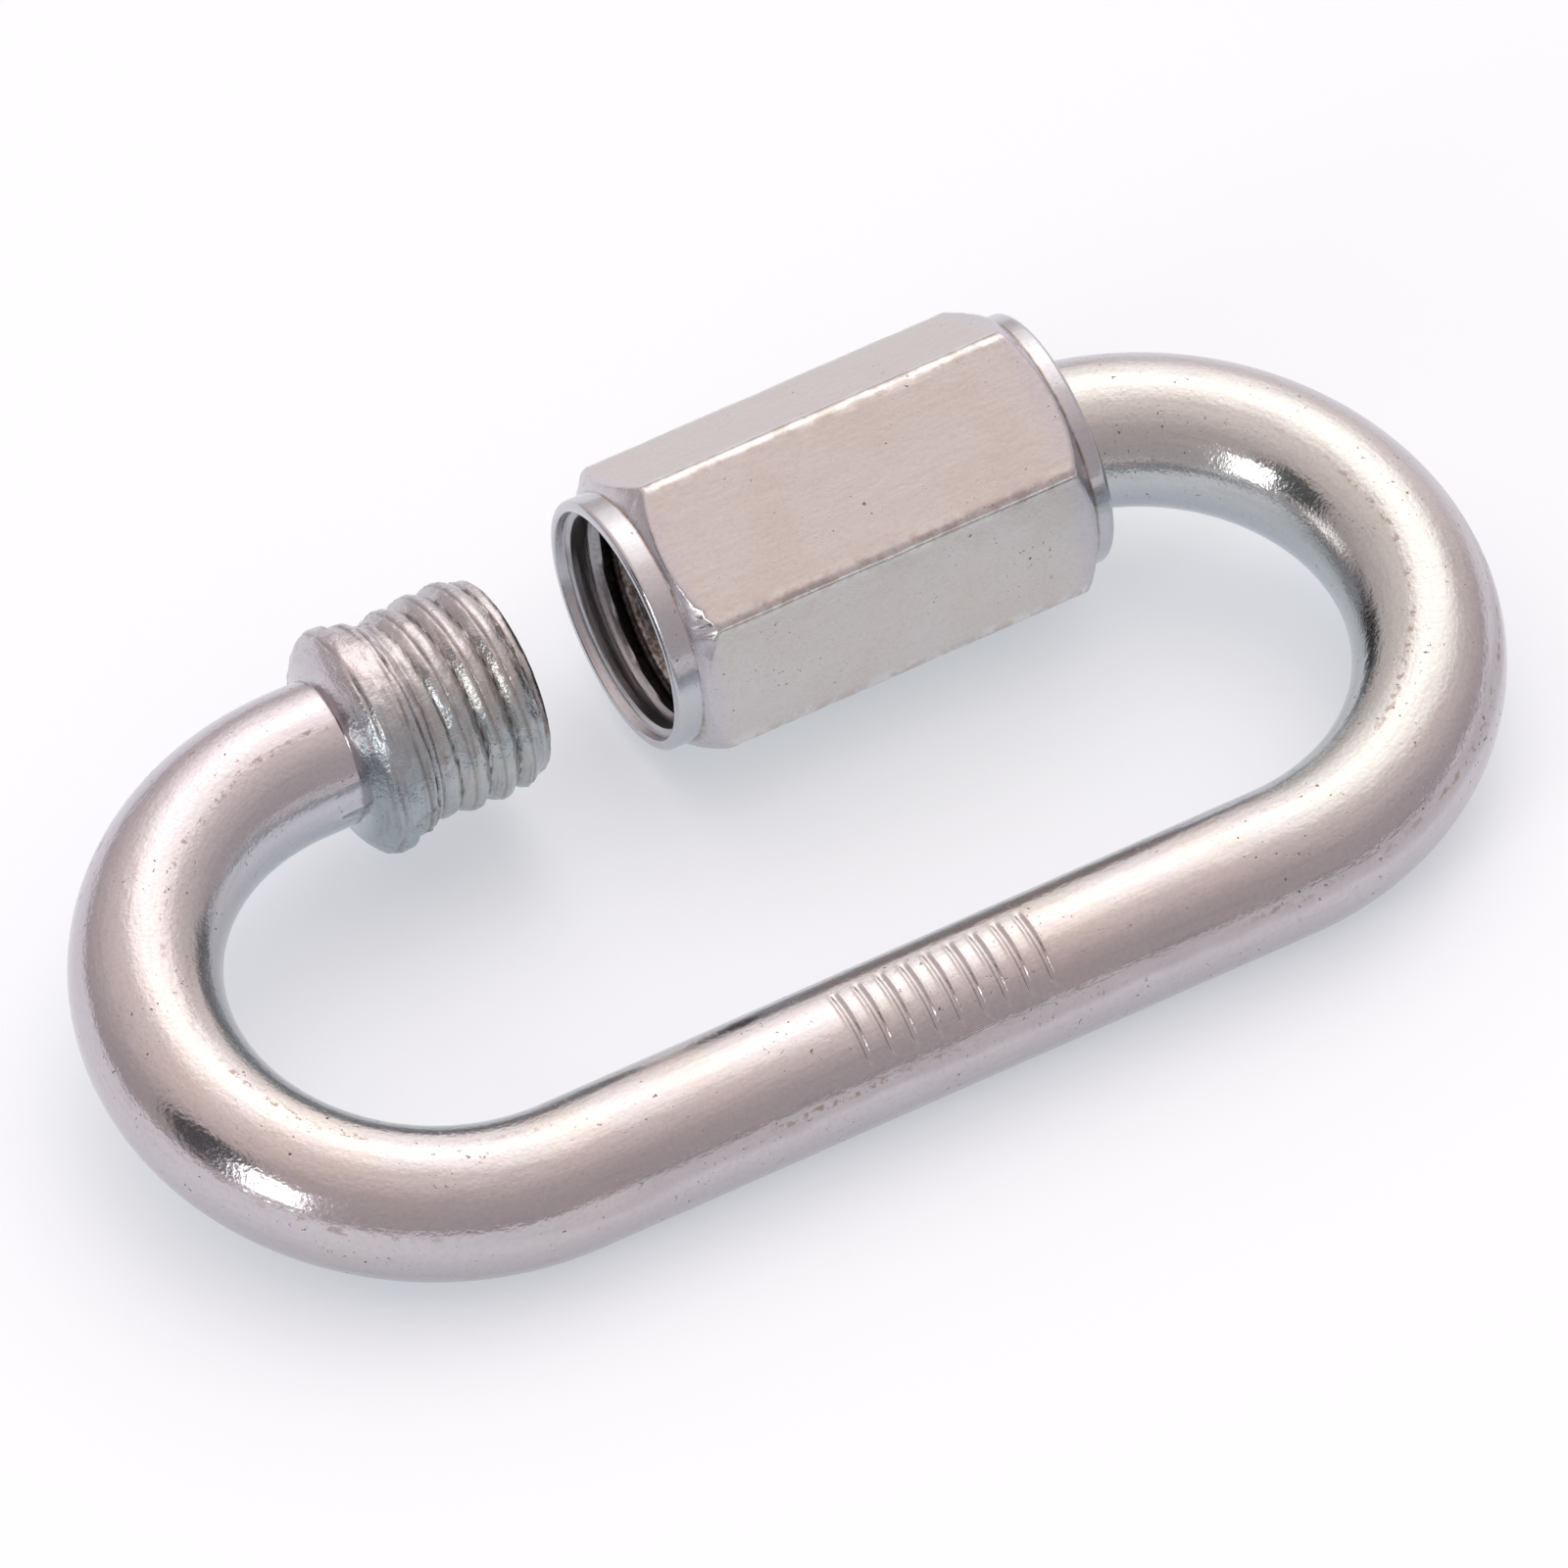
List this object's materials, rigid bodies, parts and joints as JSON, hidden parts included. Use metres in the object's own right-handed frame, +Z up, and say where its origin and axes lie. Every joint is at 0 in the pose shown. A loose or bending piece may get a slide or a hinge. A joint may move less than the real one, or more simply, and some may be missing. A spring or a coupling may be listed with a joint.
{
  "type": "chain quick link",
  "caption": "Oval quick link of bent round bar with threaded ends and a hexagonal sleeve nut that screws across its opening to join chain or rings.",
  "frame": {"origin": "middle of the link's footprint on the surface it lies on", "axes": "+X along the link from the stub with the bead to the long arm, +Y towards the nut's side, +Z up from the surface"},
  "size_m": [0.059, 0.0304, 0.0125],
  "materials": {
    "plated_bar": "bright zinc plate, satin gloss",
    "plated_nut": "zinc plate, satin flats and turned collars"
  },
  "bodies": {
    "link": {"link_body": "plated_bar"},
    "nut": {"sleeve_nut": "plated_nut"}
  },
  "joints": [
    {"name": "nut_travel", "type": "slide", "parent": "link", "child": "nut", "axis": [1, 0, 0], "range_m": [-0.0104, 0.0026]}
  ]
}
